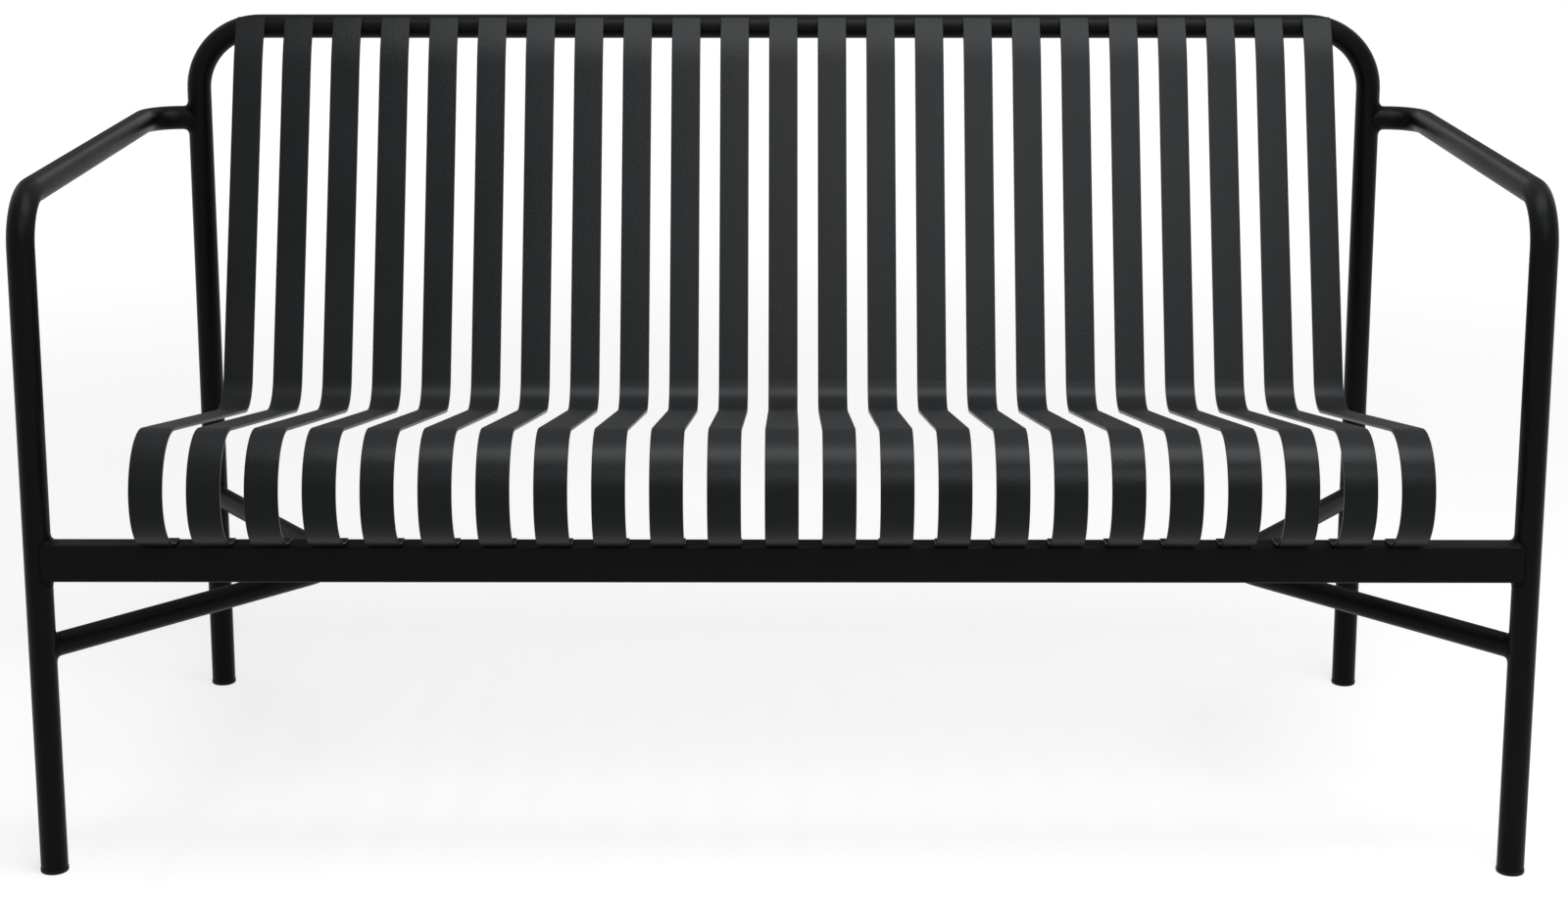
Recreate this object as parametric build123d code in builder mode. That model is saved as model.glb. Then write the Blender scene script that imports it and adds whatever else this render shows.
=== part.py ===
from build123d import *

import os
from math import atan2, cos, degrees, radians, sin, tan

# A patio loveseat of welded steel, in millimetres.
# X runs along the seat, Y from the front to the back, Z up from the ground.
# The origin is on the ground, under the middle of the loveseat.

# Overall
overall_depth = 595  # from the front of the seat's roll to the back of the rear posts
overall_height = 742  # to the top of the top rail
leg_spacing = 1350  # between the axes of the two front legs
post_inset = 54  # how far a rear post's axis lies inboard of its front leg's

# Round tube of the back frame, the legs and the arms
tube_diameter = 25
tube_wall = 1.5
back_corner_radius = 67  # the tube's axis in the upper corners of the back frame
arm_drop = 110  # from the top of the top rail down to the arm's axis
arm_front_radius = 45  # the axis where a front leg turns into its arm
arm_stub = 6.5  # the straight end of an arm, between its rear bend and the post

# Braces under the seat, one bent tube on each side
brace_diameter = 22
brace_wall = 1.5
brace_height = 216  # the brace's axis above the ground
brace_reach = 236  # how far the bend lies inboard of the front leg's axis
brace_bend_radius = 60

# Front rail, a rectangular tube between the front legs
rail_height = 35
rail_step = 0.5  # how far the rail's front and back faces lie inside the sides of the legs
rail_wall = 2
rail_corner_radius = 3
rail_top_height = 317  # the rail's top face above the ground

# Slats, flat strips from the front rail to the top rail
slat_count = 23
slat_width = 30
slat_thickness = 3
slat_end_margin = 114  # from a front leg's axis to the middle of the slat next to it
roll_radius = 53.5  # the outside of the roll at the front edge of the seat
roll_to_leg = 6.5  # from the roll's lowest point back to the axes of the front legs
landing_margin = 2.5  # from the bead behind a slat to the rounded back edge of the rail
seat_slope = 11.1  # degrees that the seat falls towards the back
seat_corner_setback = 165.5  # from the line where seat and back would cross to the posts' axes
seat_corner_radius = 36  # the upper face, between seat and back
top_curve_drop = 52  # from the top of the top rail down to where a slat starts to curve back
top_curve_setback = 40.3  # from there back to the top rail's axis
slat_top_lap = 1  # how far a slat reaches past its line of contact with the top rail

# Foot caps, pushed into the open ends of the legs and posts
cap_height = 4
cap_rim = 0.4  # how far the cap stands out past the tube
cap_edge_radius = 1.6
cap_stem_length = 16
cap_stem_wall = 2
cap_rib_count = 3
cap_rib_height = 1.6
cap_rib_depth = 1
cap_clearance = 0.3  # between the cap's ribs and the inside of the tube

# Weld beads
tube_weld_leg = 5  # where an arm or a brace meets a leg or post
rail_weld_leg = 6  # round the ends of the front rail
slat_weld_leg = 2.5  # along the end of a slat on the front rail
top_weld_reach = 4  # how far round the top rail a bead runs from the end of a slat
slat_weld_inset = 1  # how far a slat's bead stops short of its edges
weld_clearance = 0.3  # between a bead and the leg or post that it is on

# Places and sizes that follow from those above
tube_radius = tube_diameter / 2
leg_x = leg_spacing / 2
post_x = leg_x - post_inset
front_y = -overall_depth / 2
roll_y = front_y + roll_radius
leg_y = roll_y + roll_to_leg
post_y = overall_depth / 2 - tube_radius
top_rail_height = overall_height - tube_radius
arm_height = overall_height - arm_drop
arm_rear_radius = post_inset - tube_radius - arm_stub
rail_depth = tube_diameter - 2 * rail_step
slat_pitch = (leg_spacing - 2 * slat_end_margin) / (slat_count - 1)
landing_end_y = leg_y + rail_depth / 2 - rail_corner_radius - landing_margin - slat_weld_leg

SIDES = {"left": -1, "right": 1}


def save(piece, name):
    """Labels a finished piece and writes it as its own node."""
    piece.part.label = name
    export_step(piece.part, f"parts/{name}.step")


def round_tube(points, radii, diameter, wall):
    """A bent round tube along straight runs that are joined by arcs."""
    with BuildPart() as tube:
        with BuildLine() as route:
            FilletPolyline(*points, radius=radii)
        with BuildSketch(Plane(origin=route.line @ 0, z_dir=route.line % 0)):
            Circle(diameter / 2)
            Circle(diameter / 2 - wall, mode=Mode.SUBTRACT)
        sweep()
    return tube


def upright_bar(x, y, radius):
    """A solid upright bar, which stands for a leg or post where another piece is cut to fit it."""
    with BuildPart(mode=Mode.PRIVATE) as bar:
        with BuildSketch():
            with Locations((x, y)):
                Circle(radius)
        extrude(amount=overall_height)
    return bar.part


def leg_bar(side, grow=0.0):
    return upright_bar(side * leg_x, leg_y, tube_radius + grow)


def post_bar(side, grow=0.0):
    return upright_bar(side * post_x, post_y, tube_radius + grow)


def back_frame():
    """One tube makes both rear posts and the top rail."""
    points = [
        (-post_x, post_y, cap_height),
        (-post_x, post_y, top_rail_height),
        (post_x, post_y, top_rail_height),
        (post_x, post_y, cap_height),
    ]
    return round_tube(points, [back_corner_radius] * 2, tube_diameter, tube_wall)


def front_leg_arm(side):
    """One tube makes a front leg, the level arm and the stub that meets the rear post."""
    points = [
        (side * leg_x, leg_y, cap_height),
        (side * leg_x, leg_y, arm_height),
        (side * leg_x, post_y, arm_height),
        (side * post_x, post_y, arm_height),
    ]
    with BuildPart() as leg_arm:
        add(round_tube(points, [arm_front_radius, arm_rear_radius], tube_diameter, tube_wall).part)
        add(post_bar(side), mode=Mode.SUBTRACT)
    return leg_arm


def brace_points(side):
    """The brace's axis runs from leg to bend to post, level, with the bend halfway along the depth."""
    return [
        (side * leg_x, leg_y, brace_height),
        (side * (leg_x - brace_reach), (leg_y + post_y) / 2, brace_height),
        (side * post_x, post_y, brace_height),
    ]


def seat_brace(side):
    """A bent tube under the seat, cut at each end to fit the round leg or post."""
    with BuildPart() as brace:
        add(round_tube(brace_points(side), [brace_bend_radius], brace_diameter, brace_wall).part)
        add(leg_bar(side), mode=Mode.SUBTRACT)
        add(post_bar(side), mode=Mode.SUBTRACT)
    return brace


def front_rail():
    """A rectangular tube, cut at each end to fit the round leg."""
    with BuildPart() as rail:
        with BuildSketch(Plane.YZ):
            with Locations((leg_y, rail_top_height - rail_height / 2)):
                RectangleRounded(rail_depth, rail_height, rail_corner_radius)
                Rectangle(
                    rail_depth - 2 * rail_wall, rail_height - 2 * rail_wall, mode=Mode.SUBTRACT
                )
        extrude(amount=leg_x, both=True)
        for side in SIDES.values():
            add(leg_bar(side), mode=Mode.SUBTRACT)
    return rail


def slat_path():
    """Places on a slat, as (y, z): the roll's middle, the seat corner and the top curve's start."""
    roll_centre = (roll_y, rail_top_height + roll_radius)
    slope = radians(seat_slope)
    seat_y = roll_y + roll_radius * sin(slope)
    seat_z = roll_centre[1] + roll_radius * cos(slope)
    corner_y = post_y - seat_corner_setback
    corner = (corner_y, seat_z - (corner_y - seat_y) * tan(slope))
    curve_start = (post_y - top_curve_setback, overall_height - top_curve_drop)
    return roll_centre, corner, curve_start


def top_curve():
    """The arc up to the top rail: its radius, its middle, and the slat's lean from upright at both ends."""
    _, corner, start = slat_path()
    lean = atan2(start[0] - corner[0], start[1] - corner[1])
    across = post_y - start[0]
    up = top_rail_height - start[1]
    stand_off = tube_radius + slat_thickness
    inward = across * cos(lean) - up * sin(lean)
    radius = (across**2 + up**2 - stand_off**2) / (2 * (inward - stand_off))
    middle = (start[0] + radius * cos(lean), start[1] - radius * sin(lean))
    contact_lean = atan2(top_rail_height - middle[1], middle[0] - post_y)
    return radius, middle, lean, contact_lean + slat_top_lap / radius


def slat_end():
    """The slat's upper end: the front and the back corner, as (y, z), and the lean there."""
    radius, middle, _, lean = top_curve()
    front, back = [
        (middle[0] - face * cos(lean), middle[1] + face * sin(lean))
        for face in (radius, radius - slat_thickness)
    ]
    return front, back, lean


def slat_places():
    """The middle of each slat along X, from left to right."""
    return [(number - (slat_count - 1) / 2) * slat_pitch for number in range(slat_count)]


def slat(x):
    """A flat strip: a landing on the rail, the roll, the seat, the back and the curve to the top rail."""
    _, corner, curve_start = slat_path()
    curve_radius, _, lean, end_lean = top_curve()
    with BuildPart() as strip:
        with BuildSketch(Plane.YZ.offset(x)):
            with BuildLine():
                landing = Line((landing_end_y, rail_top_height), (roll_y, rail_top_height))
                roll = JernArc(
                    start=landing @ 1,
                    tangent=landing % 1,
                    radius=roll_radius,
                    arc_size=-(180 + seat_slope),
                )
                back = FilletPolyline(roll @ 1, corner, curve_start, radius=seat_corner_radius)
                JernArc(
                    start=back @ 1,
                    tangent=back % 1,
                    radius=curve_radius,
                    arc_size=-degrees(end_lean - lean),
                )
                offset(amount=slat_thickness, side=Side.RIGHT)
            make_face()
        extrude(amount=slat_width / 2, both=True)
    return strip


def foot_cap(x, y):
    """A push-in cap: a rounded foot under the tube's end, and a hollow ribbed stem inside the tube."""
    rib_radius = tube_radius - tube_wall - cap_clearance
    stem_radius = rib_radius - cap_rib_depth
    rib_step = (cap_stem_length - cap_rib_height) / cap_rib_count
    with BuildPart() as cap:
        with BuildSketch():
            with Locations((x, y)):
                Circle(tube_radius + cap_rim)
        extrude(amount=cap_height)
        fillet(cap.edges().sort_by(Axis.Z)[0], radius=cap_edge_radius)
        with BuildSketch(Plane.XY.offset(cap_height)):
            with Locations((x, y)):
                Circle(stem_radius)
        extrude(amount=cap_stem_length)
        for rib in range(cap_rib_count):
            with BuildSketch(Plane.XY.offset(cap_height + (rib + 1) * rib_step)):
                with Locations((x, y)):
                    Circle(rib_radius)
            extrude(amount=cap_rib_height)
        with BuildSketch(Plane.XY.offset(cap_height)):
            with Locations((x, y)):
                Circle(stem_radius - cap_stem_wall)
        extrude(amount=cap_stem_length, mode=Mode.SUBTRACT)
    return cap


def stub(start, end, diameter):
    """A solid bar along a tube's last run, which stands for the tube where a bead is cut to fit it."""
    with BuildPart(mode=Mode.PRIVATE) as bar:
        with BuildSketch(Plane(origin=start, z_dir=Vector(*end) - Vector(*start))):
            Circle(diameter / 2)
        extrude(amount=(Vector(*end) - Vector(*start)).length)
    return bar.part


def bead(bar, joined, leg):
    """A weld bead with a hollow face, all round the joint of an upright bar and the piece that meets it."""
    with BuildPart() as weld:
        add(bar)
        add(joined)
        fillet(weld.edges(Select.NEW), radius=leg)
        add(bar, mode=Mode.SUBTRACT)
        add(joined, mode=Mode.SUBTRACT)
    return weld


def arm_weld(side):
    """The bead where an arm meets its rear post."""
    tube = stub(
        (side * post_x, post_y, arm_height),
        (side * leg_x, post_y, arm_height),
        tube_diameter,
    )
    return bead(post_bar(side, weld_clearance), tube, tube_weld_leg)


def brace_weld_front(side):
    """The bead where a brace meets its front leg."""
    front, bend, _ = brace_points(side)
    return bead(leg_bar(side, weld_clearance), stub(front, bend, brace_diameter), tube_weld_leg)


def brace_weld_rear(side):
    """The bead where a brace meets its rear post."""
    _, bend, rear = brace_points(side)
    return bead(post_bar(side, weld_clearance), stub(rear, bend, brace_diameter), tube_weld_leg)


def rail_weld(side):
    """The bead where the front rail meets a front leg."""
    with BuildPart(mode=Mode.PRIVATE) as bar:
        with BuildSketch(Plane.YZ):
            with Locations((leg_y, rail_top_height - rail_height / 2)):
                RectangleRounded(rail_depth, rail_height, rail_corner_radius)
        extrude(amount=leg_x, both=True)
    return bead(leg_bar(side, weld_clearance), bar.part, rail_weld_leg)


def slat_front_welds():
    """One bead behind the end of each slat, on the rail's top face."""
    with BuildPart() as welds:
        for x in slat_places():
            with BuildSketch(Plane.YZ.offset(x)):
                with BuildLine():
                    Polyline(
                        (landing_end_y, rail_top_height),
                        (landing_end_y + slat_weld_leg, rail_top_height),
                        (landing_end_y, rail_top_height + slat_weld_leg),
                        close=True,
                    )
                make_face()
            extrude(amount=slat_width / 2 - slat_weld_inset, both=True)
    return welds


def slat_top_welds():
    """One bead over the upper end of each slat, down to the top rail."""
    front, back, lean = slat_end()
    reach = lean + top_weld_reach / tube_radius
    landing = (post_y - tube_radius * cos(reach), top_rail_height + tube_radius * sin(reach))
    with BuildPart() as welds:
        for x in slat_places():
            with BuildSketch(Plane.YZ.offset(x)):
                with BuildLine():
                    Polyline(front, landing, (post_y, top_rail_height), back, close=True)
                make_face()
                with Locations((post_y, top_rail_height)):
                    Circle(tube_radius, mode=Mode.SUBTRACT)
            extrude(amount=slat_width / 2 - slat_weld_inset, both=True)
    return welds


os.makedirs("parts", exist_ok=True)
save(back_frame(), "back_frame")
save(front_rail(), "front_rail")
for name, side in SIDES.items():
    save(front_leg_arm(side), f"front_leg_arm_{name}")
    save(seat_brace(side), f"seat_brace_{name}")
    save(foot_cap(side * leg_x, leg_y), f"foot_cap_front_{name}")
    save(foot_cap(side * post_x, post_y), f"foot_cap_rear_{name}")
    save(arm_weld(side), f"arm_weld_{name}")
    save(brace_weld_front(side), f"brace_weld_front_{name}")
    save(brace_weld_rear(side), f"brace_weld_rear_{name}")
    save(rail_weld(side), f"rail_weld_{name}")
for number, x in enumerate(slat_places(), start=1):
    save(slat(x), f"slat_{number:02d}")
save(slat_front_welds(), "slat_front_welds")
save(slat_top_welds(), "slat_top_welds")
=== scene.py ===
# %% [markdown]
# # A welded steel patio loveseat
#
# This lesson dresses a finished engineering model of a garden loveseat. The
# model gives every piece its place and size. Blender gives it smooth round
# tube, strips with eased edges, beads of weld, a powder coat and a picture.
#
# The model comes first. Everything below is built inside its frame: metres, X
# along the seat, Y from the front to the back, Z up from the ground.

from math import cos, degrees, pi, radians, sin, tan

import bpy
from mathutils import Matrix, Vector


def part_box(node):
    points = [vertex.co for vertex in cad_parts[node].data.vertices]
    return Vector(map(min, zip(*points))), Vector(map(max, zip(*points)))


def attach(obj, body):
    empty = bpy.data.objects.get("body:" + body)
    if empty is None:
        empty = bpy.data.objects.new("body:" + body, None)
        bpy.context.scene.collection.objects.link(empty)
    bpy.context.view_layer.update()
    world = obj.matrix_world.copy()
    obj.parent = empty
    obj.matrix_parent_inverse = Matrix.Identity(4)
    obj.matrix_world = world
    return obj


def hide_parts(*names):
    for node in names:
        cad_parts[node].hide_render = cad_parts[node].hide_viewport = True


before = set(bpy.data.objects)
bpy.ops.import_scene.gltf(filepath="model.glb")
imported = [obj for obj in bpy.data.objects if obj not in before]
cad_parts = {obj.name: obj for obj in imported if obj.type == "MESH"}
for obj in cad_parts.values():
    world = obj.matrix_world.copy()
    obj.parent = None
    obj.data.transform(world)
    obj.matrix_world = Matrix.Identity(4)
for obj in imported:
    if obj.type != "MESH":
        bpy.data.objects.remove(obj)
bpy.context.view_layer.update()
print("loaded", len(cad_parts), "nodes")

# %% [markdown]
# ## Where things are
#
# The foot caps sit on the axes of the legs and posts, so the middle of a cap's
# box gives an upright's place. The rail, the braces and the top of the back
# give the heights. Reading these from the model keeps the two in step.

# %% Read the places from the model
SIDES = {"left": -1, "right": 1}


def middle(node):
    low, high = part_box(node)
    return (low + high) / 2


leg = middle("foot_cap_front_right")
post = middle("foot_cap_rear_right")
rail_low, rail_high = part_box("front_rail")
frame_low, frame_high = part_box("back_frame")
brace_height = middle("seat_brace_right").z
rail_top = rail_high.z
rail_middle = (rail_low.z + rail_high.z) / 2
top_height = frame_high.z
tube_foot = frame_low.z
for name, place in (("leg", leg), ("post", post)):
    print(name, "at", round(place.x, 4), round(place.y, 4))
print("rail top", round(rail_top, 4), "top of the back", round(top_height, 4))

# %% [markdown]
# ## Sizes that a box can't give
#
# Radii, walls and slopes repeat the model's own values, in metres.

# %% Sizes of the stock and its bends
TUBE_RADIUS = 0.0125
TUBE_WALL = 0.0015
BACK_CORNER_RADIUS = 0.067
ARM_DROP = 0.110
ARM_FRONT_RADIUS = 0.045
ARM_REAR_RADIUS = 0.035

BRACE_RADIUS = 0.011
BRACE_WALL = 0.0015
BRACE_REACH = 0.236
BRACE_BEND_RADIUS = 0.060

RAIL_WALL = 0.002
RAIL_CORNER_RADIUS = 0.003

SLAT_WIDTH = 0.030
SLAT_THICKNESS = 0.003
SLAT_EDGE_RADIUS = 0.0006
ROLL_RADIUS = 0.0535
SEAT_SLOPE = radians(11.1)
SEAT_CORNER_SETBACK = 0.1655
SEAT_CORNER_RADIUS = 0.036
TOP_CURVE_DROP = 0.052
TOP_CURVE_SETBACK = 0.0403
SLAT_TOP_LAP = 0.001

arm_height = top_height - ARM_DROP
top_rail_height = top_height - TUBE_RADIUS
print("arm axis at", round(arm_height, 4), "top rail axis at", round(top_rail_height, 4))

# %% [markdown]
# ## Working with operators from a script
#
# A modelling operator acts on everything that is selected, and the loaded nodes
# are selected to begin with. So each piece starts by deselecting all. A new
# primitive is turned and placed, and its place is then written into its mesh,
# which leaves the object at the origin, where the model's own nodes are.

# %% Helpers for starting and finishing a piece
def select_only(*pieces):
    """Leaves object mode with only these pieces selected, the last of them active."""
    if bpy.context.object and bpy.context.object.mode != "OBJECT":
        bpy.ops.object.mode_set(mode="OBJECT")
    bpy.ops.object.select_all(action="DESELECT")
    for piece in pieces:
        piece.select_set(True)
        bpy.context.view_layer.objects.active = piece


def place_in_mesh():
    """Writes the active object's place, turn and scale into its mesh."""
    bpy.ops.object.transform_apply(location=True, rotation=True, scale=True)


def edit_all():
    """Enters edit mode on the active object with everything selected."""
    bpy.ops.object.mode_set(mode="EDIT")
    bpy.ops.mesh.select_all(action="SELECT")


def finish_edit():
    bpy.ops.object.mode_set(mode="OBJECT")
    return bpy.context.object


def apply_modifier(piece, kind, **settings):
    """Adds one modifier to a piece and applies it."""
    select_only(piece)
    modifier = piece.modifiers.new(kind.lower(), kind)
    for name, value in settings.items():
        setattr(modifier, name, value)
    bpy.ops.object.modifier_apply(modifier=modifier.name)


def faces_of(piece):
    return len(piece.data.polygons)


print("helpers ready")

# %% [markdown]
# ## Bending tube
#
# The real frame is straight tube, bent on a former. The same can be done here:
# a ring of points is extruded along each straight run and spun round the middle
# of each bend, so the bends are true arcs and the runs are truly straight. A
# curve with a round bevel would be quicker, but its bends are only nearly round.
#
# Spin turns left-handed about its axis, so `turn` flips the angle and the
# lesson can think right-handed everywhere else. The merge at the end is there
# for a run of no length, which would leave two rings of points at one place.

# %% Helpers that bend
TUBE_SIDES = 48
BEND_STEP = radians(3.75)
FEWEST_STEPS = 2
MERGE_DISTANCE = 0.00001


def start_ring(radius, at, facing):
    """Adds a ring of points whose face looks along the direction the tube will run."""
    select_only()
    bpy.ops.mesh.primitive_circle_add(
        vertices=TUBE_SIDES,
        radius=radius,
        fill_type="NOTHING",
        location=at,
        rotation=Vector(facing).to_track_quat("Z", "Y").to_euler(),
    )
    place_in_mesh()
    edit_all()


def run(along):
    """Extrudes what is selected by one straight run."""
    bpy.ops.mesh.extrude_region_move(TRANSFORM_OT_translate={"value": tuple(along)})


def turn(centre, axis, angle):
    """Spins what is selected round a bend, in even steps."""
    steps = max(FEWEST_STEPS, round(abs(angle) / BEND_STEP))
    bpy.ops.mesh.spin(steps=steps, angle=-angle, center=tuple(centre), axis=tuple(axis))


def follow(points, radii):
    """Runs and turns along a route of straight lines. Each corner has its own radius."""
    points = [Vector(p) for p in points]
    here = points[0]
    for before, corner, after, radius in zip(points, points[1:], points[2:], radii):
        arriving = (corner - before).normalized()
        leaving = (after - corner).normalized()
        angle = arriving.angle(leaving)
        cut = radius * tan(angle / 2)
        axis = arriving.cross(leaving).normalized()
        start = corner - arriving * cut
        run(start - here)
        turn(start + axis.cross(arriving) * radius, axis, angle)
        here = corner + leaving * cut
    run(points[-1] - here)


def tube_from_ring(name, wall):
    """Turns the finished skin into tube: faces outwards, then a wall of real thickness."""
    bpy.ops.mesh.select_all(action="SELECT")
    bpy.ops.mesh.remove_doubles(threshold=MERGE_DISTANCE)
    bpy.ops.mesh.normals_make_consistent(inside=False)
    tube = finish_edit()
    tube.name = tube.data.name = name
    apply_modifier(tube, "SOLIDIFY", thickness=wall, offset=-1.0)
    return tube


print(TUBE_SIDES, "sides to a tube,", round(degrees(BEND_STEP), 2), "degrees to a step in a bend")

# %% [markdown]
# ## Notching tube ends
#
# Where one tube meets another, its end is notched to the other's round side
# before it is welded. A boolean with a plain bar of the other tube's size cuts
# the same notch.

# %% Helper that notches
BAR_SIDES = 96
BAR_LENGTH = 0.12
ROUND_UP_TO = radians(40)


def notch(piece, at):
    """Cuts away what lies inside an upright bar of the frame tube's size."""
    select_only()
    bpy.ops.mesh.primitive_cylinder_add(
        vertices=BAR_SIDES, radius=TUBE_RADIUS, depth=BAR_LENGTH, location=at
    )
    place_in_mesh()
    bar = bpy.context.object
    apply_modifier(piece, "BOOLEAN", object=bar, operation="DIFFERENCE", solver="EXACT")
    select_only(bar)
    bpy.ops.object.delete()


def smooth(piece, angle=ROUND_UP_TO):
    """Shades a piece smooth, but keeps edges that are sharper than the angle."""
    select_only(piece)
    bpy.ops.object.shade_smooth_by_angle(angle=angle)


print("notch helper ready")

# %% [markdown]
# ## The back frame
#
# One tube makes both rear posts and the top rail. It starts on the left foot
# cap, goes up, turns twice and comes down on the right one.

# %% Back frame
start_ring(TUBE_RADIUS, (-post.x, post.y, tube_foot), (0, 0, 1))
follow(
    [
        (-post.x, post.y, tube_foot),
        (-post.x, post.y, top_rail_height),
        (post.x, post.y, top_rail_height),
        (post.x, post.y, tube_foot),
    ],
    [BACK_CORNER_RADIUS] * 2,
)
back_tube = tube_from_ring("back_tube", TUBE_WALL)
smooth(back_tube)
print("back tube:", faces_of(back_tube), "faces")

# %% [markdown]
# ## The front legs and arms
#
# Each front leg turns back into a level arm, and the arm turns in towards its
# rear post. Its last few millimetres run straight, so that the notched end
# meets the post squarely.

# %% Front legs and arms
def leg_and_arm(side_name):
    side = SIDES[side_name]
    foot = (side * leg.x, leg.y, tube_foot)
    start_ring(TUBE_RADIUS, foot, (0, 0, 1))
    follow(
        [
            foot,
            (side * leg.x, leg.y, arm_height),
            (side * leg.x, post.y, arm_height),
            (side * post.x, post.y, arm_height),
        ],
        [ARM_FRONT_RADIUS, ARM_REAR_RADIUS],
    )
    tube = tube_from_ring(f"leg_arm_tube_{side_name}", TUBE_WALL)
    notch(tube, (side * post.x, post.y, arm_height))
    smooth(tube)
    return tube


leg_arm_tubes = {name: leg_and_arm(name) for name in SIDES}
print("leg and arm:", faces_of(leg_arm_tubes["left"]), "faces each")

# %% [markdown]
# ## The braces
#
# A slimmer tube under the seat ties each front leg to its rear post. It lies
# level and bends inboard, halfway along the depth. Both of its ends are notched.

# %% Braces
def brace(side_name):
    side = SIDES[side_name]
    front = Vector((side * leg.x, leg.y, brace_height))
    bend = Vector((side * (leg.x - BRACE_REACH), (leg.y + post.y) / 2, brace_height))
    rear = Vector((side * post.x, post.y, brace_height))
    start_ring(BRACE_RADIUS, front, bend - front)
    follow([front, bend, rear], [BRACE_BEND_RADIUS])
    tube = tube_from_ring(f"brace_tube_{side_name}", BRACE_WALL)
    notch(tube, front)
    notch(tube, rear)
    smooth(tube)
    return tube


brace_tubes = {name: brace(name) for name in SIDES}
print("brace:", faces_of(brace_tubes["left"]), "faces each")

# %% [markdown]
# ## The front rail
#
# The rail is rectangular tube with rounded corners. A plane becomes its
# section: its four corners are rounded by a bevel on vertices, its face is
# taken out, and the ring that is left is pulled along the loveseat.

# %% Front rail
CORNER_SEGMENTS = 5
RAIL_ROUND_UP_TO = radians(25)

select_only()
bpy.ops.mesh.primitive_plane_add(
    size=1, location=(-leg.x, leg.y, rail_middle), rotation=(0, radians(90), 0)
)
bpy.context.object.scale = (rail_high.z - rail_low.z, rail_high.y - rail_low.y, 1)
place_in_mesh()
edit_all()
bpy.ops.mesh.bevel(offset=RAIL_CORNER_RADIUS, segments=CORNER_SEGMENTS, affect="VERTICES")
bpy.ops.mesh.select_all(action="SELECT")
bpy.ops.mesh.delete(type="ONLY_FACE")
bpy.ops.mesh.select_all(action="SELECT")
run((2 * leg.x, 0, 0))
rail_tube = tube_from_ring("rail_tube", RAIL_WALL)
for side in SIDES.values():
    notch(rail_tube, (side * leg.x, leg.y, rail_middle))
smooth(rail_tube, RAIL_ROUND_UP_TO)
print("rail:", faces_of(rail_tube), "faces")

# %% [markdown]
# ## The slats
#
# All 23 slats are one shape: flat strip, rolled and bent on edge-on formers. A
# thin rectangle of four edges travels the same way as the strip: forward along
# the rail's top, round the roll, back along the seat, up the back, and round a
# long gentle curve until it lies against the top rail.
#
# That last curve starts in line with the back and has to touch the round rail.
# Its middle lies somewhere on the square to the back. Only one place there is
# as far from the curve's start as the curve's radius, and also nearer to the
# rail's middle by the rail's radius and the strip's thickness.

# %% The route of a slat, seen from the side
landing_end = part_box("slat_front_welds")[0].y
roll_middle = Vector((0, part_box("slat_12")[0].y + ROLL_RADIUS, rail_top + ROLL_RADIUS))

seat_start = roll_middle + ROLL_RADIUS * Vector((0, sin(SEAT_SLOPE), cos(SEAT_SLOPE)))
corner_y = post.y - SEAT_CORNER_SETBACK
seat_corner = Vector((0, corner_y, seat_start.z - (corner_y - seat_start.y) * tan(SEAT_SLOPE)))
curve_start = Vector((0, post.y - TOP_CURVE_SETBACK, top_height - TOP_CURVE_DROP))

up_the_back = (curve_start - seat_corner).normalized()
inward = Vector((0, up_the_back.z, -up_the_back.y))
to_rail = Vector((0, post.y, top_rail_height)) - curve_start
stand_off = TUBE_RADIUS + SLAT_THICKNESS
curve_radius = (to_rail.length_squared - stand_off**2) / (2 * (to_rail.dot(inward) - stand_off))
curve_middle = curve_start + curve_radius * inward
curve_angle = inward.angle(curve_radius * inward - to_rail) + SLAT_TOP_LAP / curve_radius
print("top curve: radius", round(curve_radius, 4))
print("top curve: angle", round(degrees(curve_angle), 1), "degrees")

# %% [markdown]
# The strip is bent while its edges are still sharp. A bevel modifier then eases
# the long edges, as the rolling mill leaves them. Its angle limit keeps it off
# the small angles between the steps of a bend. Weighted normals keep the broad
# faces looking flat between the eased edges.

# %% Bend one strip
def bend_slat(x):
    """Bends one strip whose middle is at x."""
    select_only()
    bpy.ops.mesh.primitive_plane_add(
        size=1,
        location=(x, landing_end, rail_top + SLAT_THICKNESS / 2),
        rotation=(radians(90), 0, 0),
    )
    bpy.context.object.scale = (SLAT_WIDTH, SLAT_THICKNESS, 1)
    place_in_mesh()
    edit_all()
    bpy.ops.mesh.delete(type="ONLY_FACE")
    bpy.ops.mesh.select_all(action="SELECT")
    across_x = Vector((x, 0, 0))
    run((0, roll_middle.y - landing_end, 0))
    turn(roll_middle + across_x, (-1, 0, 0), pi + SEAT_SLOPE)
    follow([seat_start, seat_corner, curve_start], [SEAT_CORNER_RADIUS])
    turn(curve_middle + across_x, (-1, 0, 0), curve_angle)
    bpy.ops.mesh.edge_face_add()
    return finish_edit()


def close_first_end(strip):
    """Fills the end where the strip began."""
    select_only(strip)
    bpy.ops.object.mode_set(mode="EDIT")
    bpy.ops.mesh.select_all(action="DESELECT")
    bpy.ops.object.mode_set(mode="OBJECT")
    for point in strip.data.vertices:
        at_end = abs(point.co.y - landing_end) < MERGE_DISTANCE
        point.select = at_end and point.co.z < roll_middle.z
    bpy.ops.object.mode_set(mode="EDIT")
    bpy.ops.mesh.select_mode(type="VERT")
    bpy.ops.mesh.edge_face_add()
    bpy.ops.mesh.select_all(action="SELECT")
    bpy.ops.mesh.remove_doubles(threshold=MERGE_DISTANCE)
    bpy.ops.mesh.normals_make_consistent(inside=False)
    finish_edit()


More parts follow.
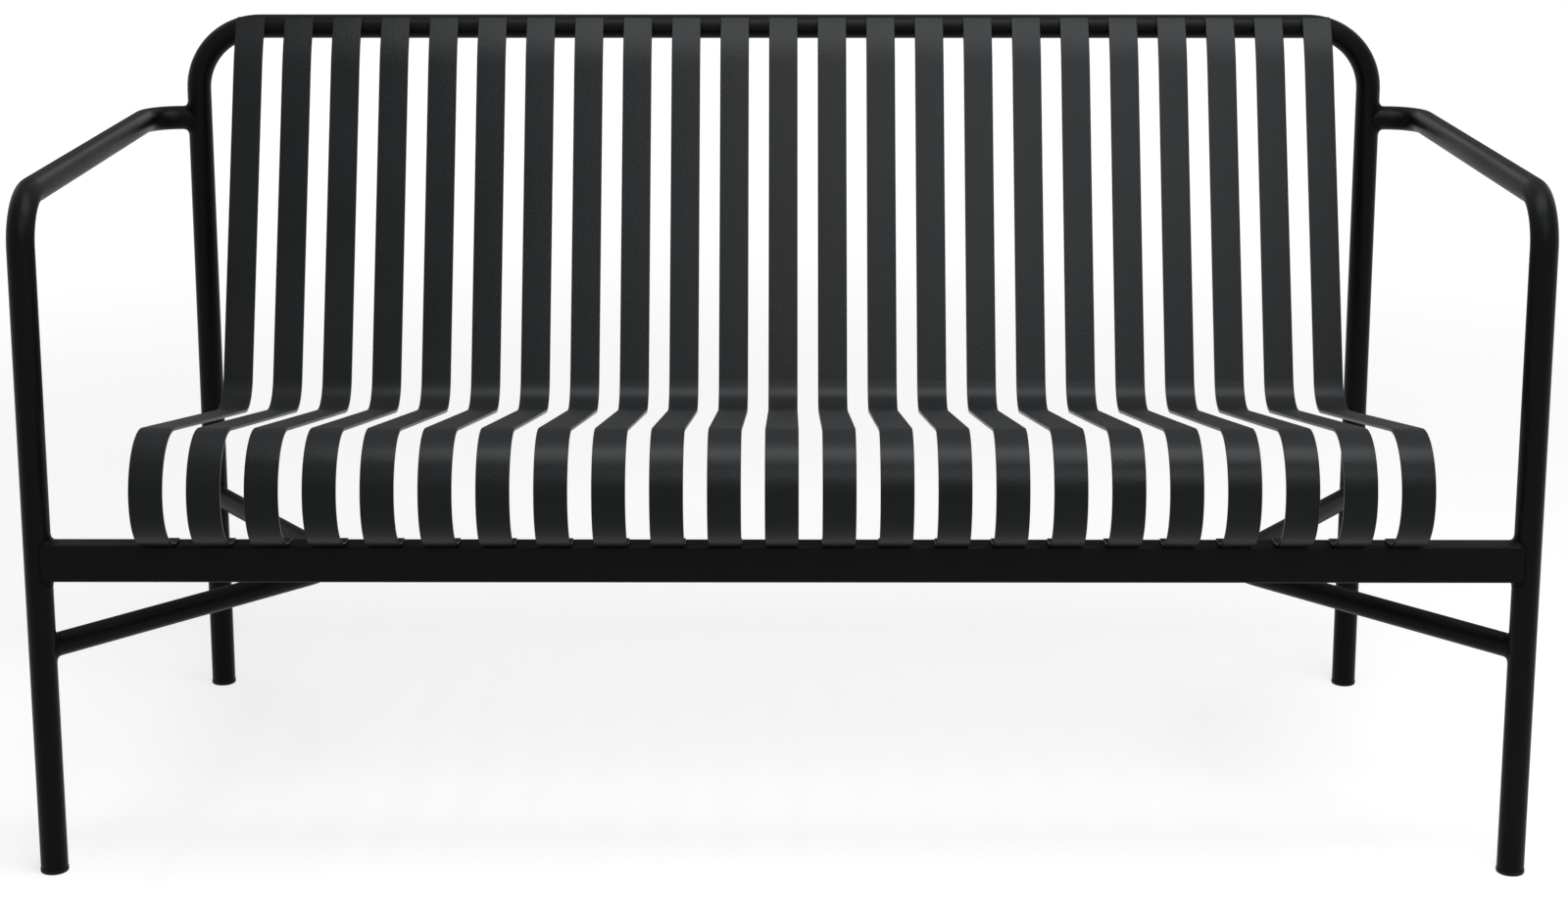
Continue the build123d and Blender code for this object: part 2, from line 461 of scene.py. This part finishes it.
first_x = middle("slat_01").x
first_slat = bend_slat(first_x)
first_slat.name = first_slat.data.name = "strip_01"
close_first_end(first_slat)
print("bent strip:", faces_of(first_slat), "faces")

# %% Ease its edges
EDGE_SEGMENTS = 2
EASE_ABOVE = radians(40)
SLAT_ROUND_UP_TO = radians(60)

apply_modifier(
    first_slat,
    "BEVEL",
    width=SLAT_EDGE_RADIUS,
    segments=EDGE_SEGMENTS,
    limit_method="ANGLE",
    angle_limit=EASE_ABOVE,
    harden_normals=False,
)
smooth(first_slat, SLAT_ROUND_UP_TO)
apply_modifier(first_slat, "WEIGHTED_NORMAL", keep_sharp=True)
print("eased strip:", faces_of(first_slat), "faces")

# %% [markdown]
# The other 22 slats are copies. Each has a mesh of its own, moved to its place,
# so that every slat's object stands at the origin.

# %% The other slats
slat_names = sorted(
    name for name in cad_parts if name.startswith("slat_") and "welds" not in name
)
strips = {slat_names[0]: first_slat}
for node_name in slat_names[1:]:
    copy = first_slat.copy()
    copy.data = first_slat.data.copy()
    copy.name = copy.data.name = node_name.replace("slat", "strip")
    bpy.context.scene.collection.objects.link(copy)
    select_only(copy)
    bpy.ops.transform.translate(value=(middle(node_name).x - first_x, 0, 0))
    place_in_mesh()
    strips[node_name] = copy
print(len(strips), "strips of", faces_of(first_slat), "faces each")

# %% [markdown]
# ## The powder coat
#
# The whole loveseat is sprayed with one near-black powder and baked. Close by,
# such a coat shows two things: a soft waviness, called orange peel, and a fine
# grain where the powder grains flowed together. Its gloss is even and low, and
# its tone drifts a very little from place to place.
#
# Tubes, strips, beads and even the plastic caps share these, at sizes of their
# own. So they are a node group, and each material uses it with its own values.
# The group puts out a height for the bump and a drift between 0 and 1, which
# the material spends on its colour and its roughness.
#
# Patterns read Object coordinates. Every piece stands at the origin, so no two
# pieces show the same patch.

# %% Helpers for node groups
def add_socket(group, name, kind, way, default=None):
    socket = group.interface.new_socket(name=name, in_out=way, socket_type=kind)
    if default is not None:
        socket.default_value = default


def add_noise(group, place, size, detail):
    """Noise whose features are about as large as the size that comes in, in metres."""
    nodes, links = group.nodes, group.links
    per_metre = nodes.new("ShaderNodeMath")
    per_metre.operation = "DIVIDE"
    per_metre.inputs[0].default_value = 1.0
    links.new(size, per_metre.inputs[1])
    texture = nodes.new("ShaderNodeTexNoise")
    texture.inputs["Detail"].default_value = detail
    links.new(place, texture.inputs["Vector"])
    links.new(per_metre.outputs[0], texture.inputs["Scale"])
    return texture.outputs["Fac"]


def mix_values(group, factor, first, second):
    """Blends two values. The factor is a number or another socket."""
    mix = group.nodes.new("ShaderNodeMix")
    mix.data_type = "FLOAT"
    if isinstance(factor, float):
        mix.inputs["Factor"].default_value = factor
    else:
        group.links.new(factor, mix.inputs["Factor"])
    group.links.new(first, mix.inputs["A"])
    group.links.new(second, mix.inputs["B"])
    return mix.outputs["Result"]


print("node helpers ready")

# %% The coat's surface as a node group
PEEL_SIZE, GRAIN_SIZE, GRAIN_SHARE = 0.0035, 0.0005, 0.35
PEEL_DETAIL, GRAIN_DETAIL, CLOUD_DETAIL = 1.0, 2.0, 3.0
CLOUDS_PER_METRE = 9.0
GRAIN_IN_DRIFT = 0.4
DRIFT_LOW, DRIFT_HIGH = 0.35, 0.65


def coat_surface_group():
    """A height, of peel and grain, and a drift between 0 and 1, of slow clouds and grain."""
    group = bpy.data.node_groups.new("coat surface", "ShaderNodeTree")
    add_socket(group, "Place", "NodeSocketVector", "INPUT")
    add_socket(group, "Peel Size", "NodeSocketFloat", "INPUT", PEEL_SIZE)
    add_socket(group, "Grain Size", "NodeSocketFloat", "INPUT", GRAIN_SIZE)
    add_socket(group, "Grain Share", "NodeSocketFloat", "INPUT", GRAIN_SHARE)
    add_socket(group, "Height", "NodeSocketFloat", "OUTPUT")
    add_socket(group, "Drift", "NodeSocketFloat", "OUTPUT")
    nodes, links = group.nodes, group.links
    given = nodes.new("NodeGroupInput").outputs
    result = nodes.new("NodeGroupOutput").inputs

    peel = add_noise(group, given["Place"], given["Peel Size"], PEEL_DETAIL)
    grain = add_noise(group, given["Place"], given["Grain Size"], GRAIN_DETAIL)
    links.new(mix_values(group, given["Grain Share"], peel, grain), result["Height"])

    clouds = nodes.new("ShaderNodeTexNoise")
    clouds.inputs["Scale"].default_value = CLOUDS_PER_METRE
    clouds.inputs["Detail"].default_value = CLOUD_DETAIL
    links.new(given["Place"], clouds.inputs["Vector"])
    spread = nodes.new("ShaderNodeMapRange")
    spread.inputs["From Min"].default_value = DRIFT_LOW
    spread.inputs["From Max"].default_value = DRIFT_HIGH
    drifting = mix_values(group, GRAIN_IN_DRIFT, clouds.outputs["Fac"], grain)
    links.new(drifting, spread.inputs["Value"])
    links.new(spread.outputs["Result"], result["Drift"])
    return group


coat_surface = coat_surface_group()
print("node group:", coat_surface.name)

# %% [markdown]
# What faces up gets painted top light: a lighter tone, so that the tops read lit
# and the undersides dark. It also gets a higher roughness, which matters more
# than it seems. Seen nearly along its surface, a smooth coat mirrors the
# background strongly, and the seat would turn white. The rougher top scatters
# that light.
#
# So a second group tells how far a spot faces up. It reads the piece's own
# normal, which doesn't change with the place of the camera.

# %% Painted top light and a rougher top, as a node group
# How far a face must point up before the painted top light and the rougher top begin, and where
# they are full.
TOP_LIGHT_STARTS, TOP_LIGHT_FULL = 0.78, 1.0
WEAKEST_TOP_LIGHT = 0.75
PATCH_SIZE, PATCH_DETAIL = 0.03, 4.0


def top_light_mask_group():
    """How much painted top light and added roughness a spot gets: none on a slope or underneath,
    up to 1 on what is level.
    """
    group = bpy.data.node_groups.new("top light mask", "ShaderNodeTree")
    add_socket(group, "Place", "NodeSocketVector", "INPUT")
    add_socket(group, "Facing", "NodeSocketVector", "INPUT")
    add_socket(group, "Patch Size", "NodeSocketFloat", "INPUT", PATCH_SIZE)
    add_socket(group, "Top Light", "NodeSocketFloat", "OUTPUT")
    nodes, links = group.nodes, group.links
    given = nodes.new("NodeGroupInput").outputs
    result = nodes.new("NodeGroupOutput").inputs

    parts = nodes.new("ShaderNodeSeparateXYZ")
    links.new(given["Facing"], parts.inputs[0])
    upward = nodes.new("ShaderNodeMapRange")
    upward.interpolation_type = "SMOOTHSTEP"
    upward.inputs["From Min"].default_value = TOP_LIGHT_STARTS
    upward.inputs["From Max"].default_value = TOP_LIGHT_FULL
    links.new(parts.outputs["Z"], upward.inputs["Value"])

    uneven = nodes.new("ShaderNodeMapRange")
    uneven.inputs["To Min"].default_value = WEAKEST_TOP_LIGHT
    patches = add_noise(group, given["Place"], given["Patch Size"], PATCH_DETAIL)
    links.new(patches, uneven.inputs["Value"])
    top_light = nodes.new("ShaderNodeMath")
    top_light.operation = "MULTIPLY"
    links.new(upward.outputs["Result"], top_light.inputs[0])
    links.new(uneven.outputs["Result"], top_light.inputs[1])
    links.new(top_light.outputs[0], result["Top Light"])
    return group


top_light_mask = top_light_mask_group()
print("node group:", top_light_mask.name)

# %% [markdown]
# ## From groups to materials
#
# A material needs only a few choices: two close tones to drift between and a
# lighter tone painted on what faces up as painted top light, two close
# roughnesses, and how deep the surface is. What is the same all over, the
# specular level and its slightly cool tint, is set on the shader's own sockets.
#
# A mix node holds sockets for every kind of value under the same names, so the
# ones for colours are picked by their numbers.

# %% Helpers for a coat's colour, roughness and surface
MIX_FACTOR, MIX_FIRST, MIX_SECOND, MIX_RESULT = 0, 6, 7, 2
TOP_ROUGHNESS = 0.8


def blend_colours(nodes, links, factor, first, second):
    """Blends two colours, each given as a tuple or as another socket."""
    mix = nodes.new("ShaderNodeMix")
    mix.data_type = "RGBA"
    links.new(factor, mix.inputs[MIX_FACTOR])
    for number, colour in ((MIX_FIRST, first), (MIX_SECOND, second)):
        if isinstance(colour, tuple):
            mix.inputs[number].default_value = (*colour, 1)
        else:
            links.new(colour, mix.inputs[number])
    return mix.outputs[MIX_RESULT]


def coat_roughness(nodes, links, drift, top_light, roughness):
    """Roughness that drifts between two values and rises on what faces up, where the top light is
    painted.
    """
    gloss = nodes.new("ShaderNodeMapRange")
    gloss.inputs["To Min"].default_value, gloss.inputs["To Max"].default_value = roughness
    links.new(drift, gloss.inputs["Value"])
    dulled = nodes.new("ShaderNodeMix")
    dulled.data_type = "FLOAT"
    dulled.inputs["B"].default_value = TOP_ROUGHNESS
    links.new(top_light, dulled.inputs["Factor"])
    links.new(gloss.outputs["Result"], dulled.inputs["A"])
    return dulled.outputs["Result"]


def coat_normal(nodes, links, height, depth):
    """A normal that tips as if the surface rose and fell by the depth."""
    bump = nodes.new("ShaderNodeBump")
    bump.inputs["Distance"].default_value = depth
    bump.inputs["Strength"].default_value = 1.0
    links.new(height, bump.inputs["Height"])
    return bump.outputs["Normal"]


print("material helpers ready")

# %% A material made with the groups
COOL_SHEEN = (0.93, 0.98, 1.0, 1)


def coated(
    name,
    tones,
    roughness,
    specular,
    depth,
    peel=PEEL_SIZE,
    grain=GRAIN_SIZE,
    grain_share=GRAIN_SHARE,
):
    """A coat of two close tones, with a lighter tone painted on what faces up as painted top
    light.
    """
    dark, light, painted_top_tone = tones
    material = bpy.data.materials.new(name)
    material.use_nodes = True
    nodes, links = material.node_tree.nodes, material.node_tree.links
    shader = nodes["Principled BSDF"]
    shader.inputs["Specular IOR Level"].default_value = specular
    shader.inputs["Specular Tint"].default_value = COOL_SHEEN

    place = nodes.new("ShaderNodeTexCoord")
    surface = nodes.new("ShaderNodeGroup")
    surface.node_tree = coat_surface
    surface.inputs["Peel Size"].default_value = peel
    surface.inputs["Grain Size"].default_value = grain
    surface.inputs["Grain Share"].default_value = grain_share
    links.new(place.outputs["Object"], surface.inputs["Place"])
    top_light = nodes.new("ShaderNodeGroup")
    top_light.node_tree = top_light_mask
    links.new(place.outputs["Object"], top_light.inputs["Place"])
    links.new(place.outputs["Normal"], top_light.inputs["Facing"])

    drift, top_light_amount = surface.outputs["Drift"], top_light.outputs["Top Light"]
    tone = blend_colours(nodes, links, drift, dark, light)
    # Painted top light: what faces up is blended towards the lighter third tone.
    tone = blend_colours(nodes, links, top_light_amount, tone, painted_top_tone)
    links.new(tone, shader.inputs["Base Color"])
    dulled = coat_roughness(nodes, links, drift, top_light_amount, roughness)
    links.new(dulled, shader.inputs["Roughness"])
    normal = coat_normal(nodes, links, surface.outputs["Height"], depth)
    links.new(normal, shader.inputs["Normal"])
    return material


print("coated material ready to use")

# %% [markdown]
# One powder covers tubes and strips alike. But the strips are flat, cold-rolled
# stock, so their coat flows out smoother and looks a little lighter and cooler
# than on the tubes. A bead keeps the ripples that welding left in it, so its
# surface is deeper and has less fine grain. The caps are bare moulded plastic:
# duller, and grained all over.

# %% The tones of each finish: its darkest, its lightest and its painted top light
# The third tone of each finish is painted top light, a lighter tone for what faces up.
FRAME_TONES = (
    (0.0013, 0.0014, 0.0015),
    (0.0026, 0.0027, 0.0028),
    (0.0045, 0.0047, 0.0049),
)
STRIP_TONES = (
    (0.0038, 0.0041, 0.0044),
    (0.0066, 0.0071, 0.0077),
    (0.0085, 0.0091, 0.0098),
)
PLASTIC_TONES = (
    (0.0045, 0.0045, 0.0048),
    (0.0075, 0.0075, 0.0080),
    (0.0100, 0.0100, 0.0100),
)
print("lightest tone:", max(max(tone) for tone in FRAME_TONES + STRIP_TONES + PLASTIC_TONES))

# %% The four finishes
frame_coat = coated(
    "frame powder coat",
    FRAME_TONES,
    roughness=(0.33, 0.41),
    specular=0.072,
    depth=0.00020,
)
slat_coat = coated(
    "strip powder coat",
    STRIP_TONES,
    roughness=(0.28, 0.36),
    specular=0.12,
    depth=0.00018,
)
bead_coat = coated(
    "weld bead powder coat",
    FRAME_TONES,
    roughness=(0.42, 0.50),
    specular=0.04,
    depth=0.00050,
    peel=0.0026,
    grain_share=0.10,
)
foot_plastic = coated(
    "foot plastic",
    PLASTIC_TONES,
    roughness=(0.50, 0.62),
    specular=0.12,
    depth=0.00015,
    peel=0.0015,
    grain=0.0003,
    grain_share=0.70,
)
for finish in (frame_coat, slat_coat, bead_coat, foot_plastic):
    print("material:", finish.name)

# %% [markdown]
# ## Dressing the pieces
#
# Each new piece takes the place of one node of the model, which is hidden. It
# rides with its body and gets its finish. The caps and the beads keep the
# model's own meshes and only change their material.

# %% Put materials on and hide the nodes that the new pieces replace
def dress(piece, node_name, material):
    piece.data.materials.clear()
    piece.data.materials.append(material)
    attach(piece, "root")
    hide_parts(node_name)


dress(back_tube, "back_frame", frame_coat)
dress(rail_tube, "front_rail", frame_coat)
for name in SIDES:
    dress(leg_arm_tubes[name], f"front_leg_arm_{name}", frame_coat)
    dress(brace_tubes[name], f"seat_brace_{name}", frame_coat)
for node_name, strip in strips.items():
    dress(strip, node_name, slat_coat)

for node_name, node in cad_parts.items():
    if not node.hide_render:
        node.data.materials.clear()
        node.data.materials.append(foot_plastic if "cap" in node_name else bead_coat)

# %% [markdown]
# ## Floor and background
#
# The picture is of a dark object on white. The floor is a very large plane. It
# scatters light, which keeps the shadow, and adds light of its own for the
# camera and for reflections, so that it reads as white. The lamps hardly reach
# the far floor, so the glow grows with the distance from the loveseat.

# %% Floor
FLOOR_SIZE = 60.0
FLOOR_GREY = 0.5
FLOOR_ROUGHNESS = 0.9
FLOOR_SPECULAR = 0.1

select_only()
bpy.ops.mesh.primitive_plane_add(size=FLOOR_SIZE)
floor = bpy.context.object
floor.name = "floor"

floor_paint = bpy.data.materials.new("floor")
floor_paint.use_nodes = True
floor_nodes, floor_links = floor_paint.node_tree.nodes, floor_paint.node_tree.links
floor_shader = floor_nodes["Principled BSDF"]
floor_shader.inputs["Base Color"].default_value = (FLOOR_GREY, FLOOR_GREY, FLOOR_GREY, 1)
floor_shader.inputs["Roughness"].default_value = FLOOR_ROUGHNESS
floor_shader.inputs["Specular IOR Level"].default_value = FLOOR_SPECULAR
floor_shader.inputs["Emission Color"].default_value = (1, 1, 1, 1)
floor.data.materials.append(floor_paint)
print("floor:", FLOOR_SIZE, "m square")

# %% [markdown]
# The glow must not act as a lamp, or it would light the loveseat from below. A
# Light Path node limits it to the rays that show the floor: those from the
# camera, from a glossy surface and through glass.

# %% The floor's glow
GLOW_NEAR, GLOW_FAR = 0.7, 0.95
GLOW_RISES_FROM, GLOW_RISES_TO = 1.0, 4.0


def seen_directly(nodes, links):
    """1 for rays from the camera, from gloss and through glass, and 0 for the rest."""
    rays = nodes.new("ShaderNodeLightPath")
    total = rays.outputs["Is Camera Ray"]
    for other in ("Is Glossy Ray", "Is Transmission Ray"):
        either = nodes.new("ShaderNodeMath")
        either.operation = "MAXIMUM"
        links.new(total, either.inputs[0])
        links.new(rays.outputs[other], either.inputs[1])
        total = either.outputs[0]
    return total


spot = floor_nodes.new("ShaderNodeTexCoord")
away = floor_nodes.new("ShaderNodeVectorMath")
away.operation = "LENGTH"
floor_links.new(spot.outputs["Object"], away.inputs[0])
glow = floor_nodes.new("ShaderNodeMapRange")
glow.interpolation_type = "SMOOTHSTEP"
glow.inputs["From Min"].default_value = GLOW_RISES_FROM
glow.inputs["From Max"].default_value = GLOW_RISES_TO
glow.inputs["To Min"].default_value = GLOW_NEAR
glow.inputs["To Max"].default_value = GLOW_FAR
floor_links.new(away.outputs["Value"], glow.inputs["Value"])
shown_glow = floor_nodes.new("ShaderNodeMath")
shown_glow.operation = "MULTIPLY"
floor_links.new(glow.outputs["Result"], shown_glow.inputs[0])
floor_links.new(seen_directly(floor_nodes, floor_links), shown_glow.inputs[1])
floor_links.new(shown_glow.outputs[0], floor_shader.inputs["Emission Strength"])
print("glow from", GLOW_NEAR, "near the loveseat to", GLOW_FAR, "far away")

# %% [markdown]
# The world is white in the same way. To the camera and in reflections it has
# full strength. As light it is weak, so that the soft lights shape the loveseat.

# %% World
WORLD_LIGHT = 0.15

world = bpy.data.worlds.new("studio")
world.use_nodes = True
bpy.context.scene.world = world
world_nodes, world_links = world.node_tree.nodes, world.node_tree.links
sky = world_nodes["Background"]
sky.inputs["Color"].default_value = (1, 1, 1, 1)
strength = world_nodes.new("ShaderNodeMix")
strength.data_type = "FLOAT"
strength.inputs["A"].default_value = WORLD_LIGHT
strength.inputs["B"].default_value = 1.0
world_links.new(seen_directly(world_nodes, world_links), strength.inputs["Factor"])
world_links.new(strength.outputs["Result"], sky.inputs["Strength"])
print("world ready")

# %% [markdown]
# ## Light
#
# Two soft lights do the work, and each is placed by what it draws on the steel.
# A bend mirrors a lamp where its surface faces halfway between the lamp and the
# camera. The overhead lamp hangs over the seat's front edge, so one band lies
# along the upper front of the rolls, and the strips lighten where they curve
# back at the top. The front lamp stands above the camera, to the right. It
# lights the back of the seat and leaves the underside of the rolls dark.

# %% Softboxes
def softbox(name, width, depth, at, aim, radiance):
    """An even rectangular light. Its power follows from its area and how bright it looks."""
    data = bpy.data.lights.new(name, "AREA")
    data.shape = "RECTANGLE"
    data.size, data.size_y = width, depth
    data.energy = radiance * pi * width * depth
    lamp = bpy.data.objects.new(name, data)
    lamp.location = at
    lamp.rotation_euler = (Vector(aim) - Vector(at)).to_track_quat("-Z", "Y").to_euler()
    bpy.context.scene.collection.objects.link(lamp)
    return lamp


overhead = softbox(
    "overhead softbox",
    width=1.8,
    depth=0.9,
    at=(0.3, -0.45, 1.9),
    aim=(0.3, -0.45, 0),
    radiance=6.4,
)
front = softbox(
    "front softbox",
    width=1.6,
    depth=1.0,
    at=(0.5, -2.5, 2.3),
    aim=(0.1, 0.1, 0.5),
    radiance=4.7,
)
for lamp in (overhead, front):
    print(lamp.name, round(lamp.data.energy), "W")

# %% [markdown]
# ## Camera
#
# The camera stands in front of the loveseat's middle and looks down on it. Its
# place, tilt and lens were fitted to the photograph. A small shift of the lens
# does a part of the tilt's work, so that the legs lean less in the picture.

# %% Camera
LENS = 64.5
LENS_SHIFT = -0.1
CAMERA_PLACE = (0.0073, -2.6846, 1.0441)
LOOKS_DOWN = 11.58
LOOKS_LEFT = 0.128

camera_data = bpy.data.cameras.new("camera")
camera_data.lens = LENS
camera_data.shift_y = LENS_SHIFT
camera = bpy.data.objects.new("camera", camera_data)
camera.location = CAMERA_PLACE
camera.rotation_euler = (radians(90 - LOOKS_DOWN), 0, radians(LOOKS_LEFT))
bpy.context.scene.collection.objects.link(camera)
bpy.context.scene.camera = camera
bpy.context.scene.view_settings.view_transform = "Standard"
print("camera at", tuple(camera.location))
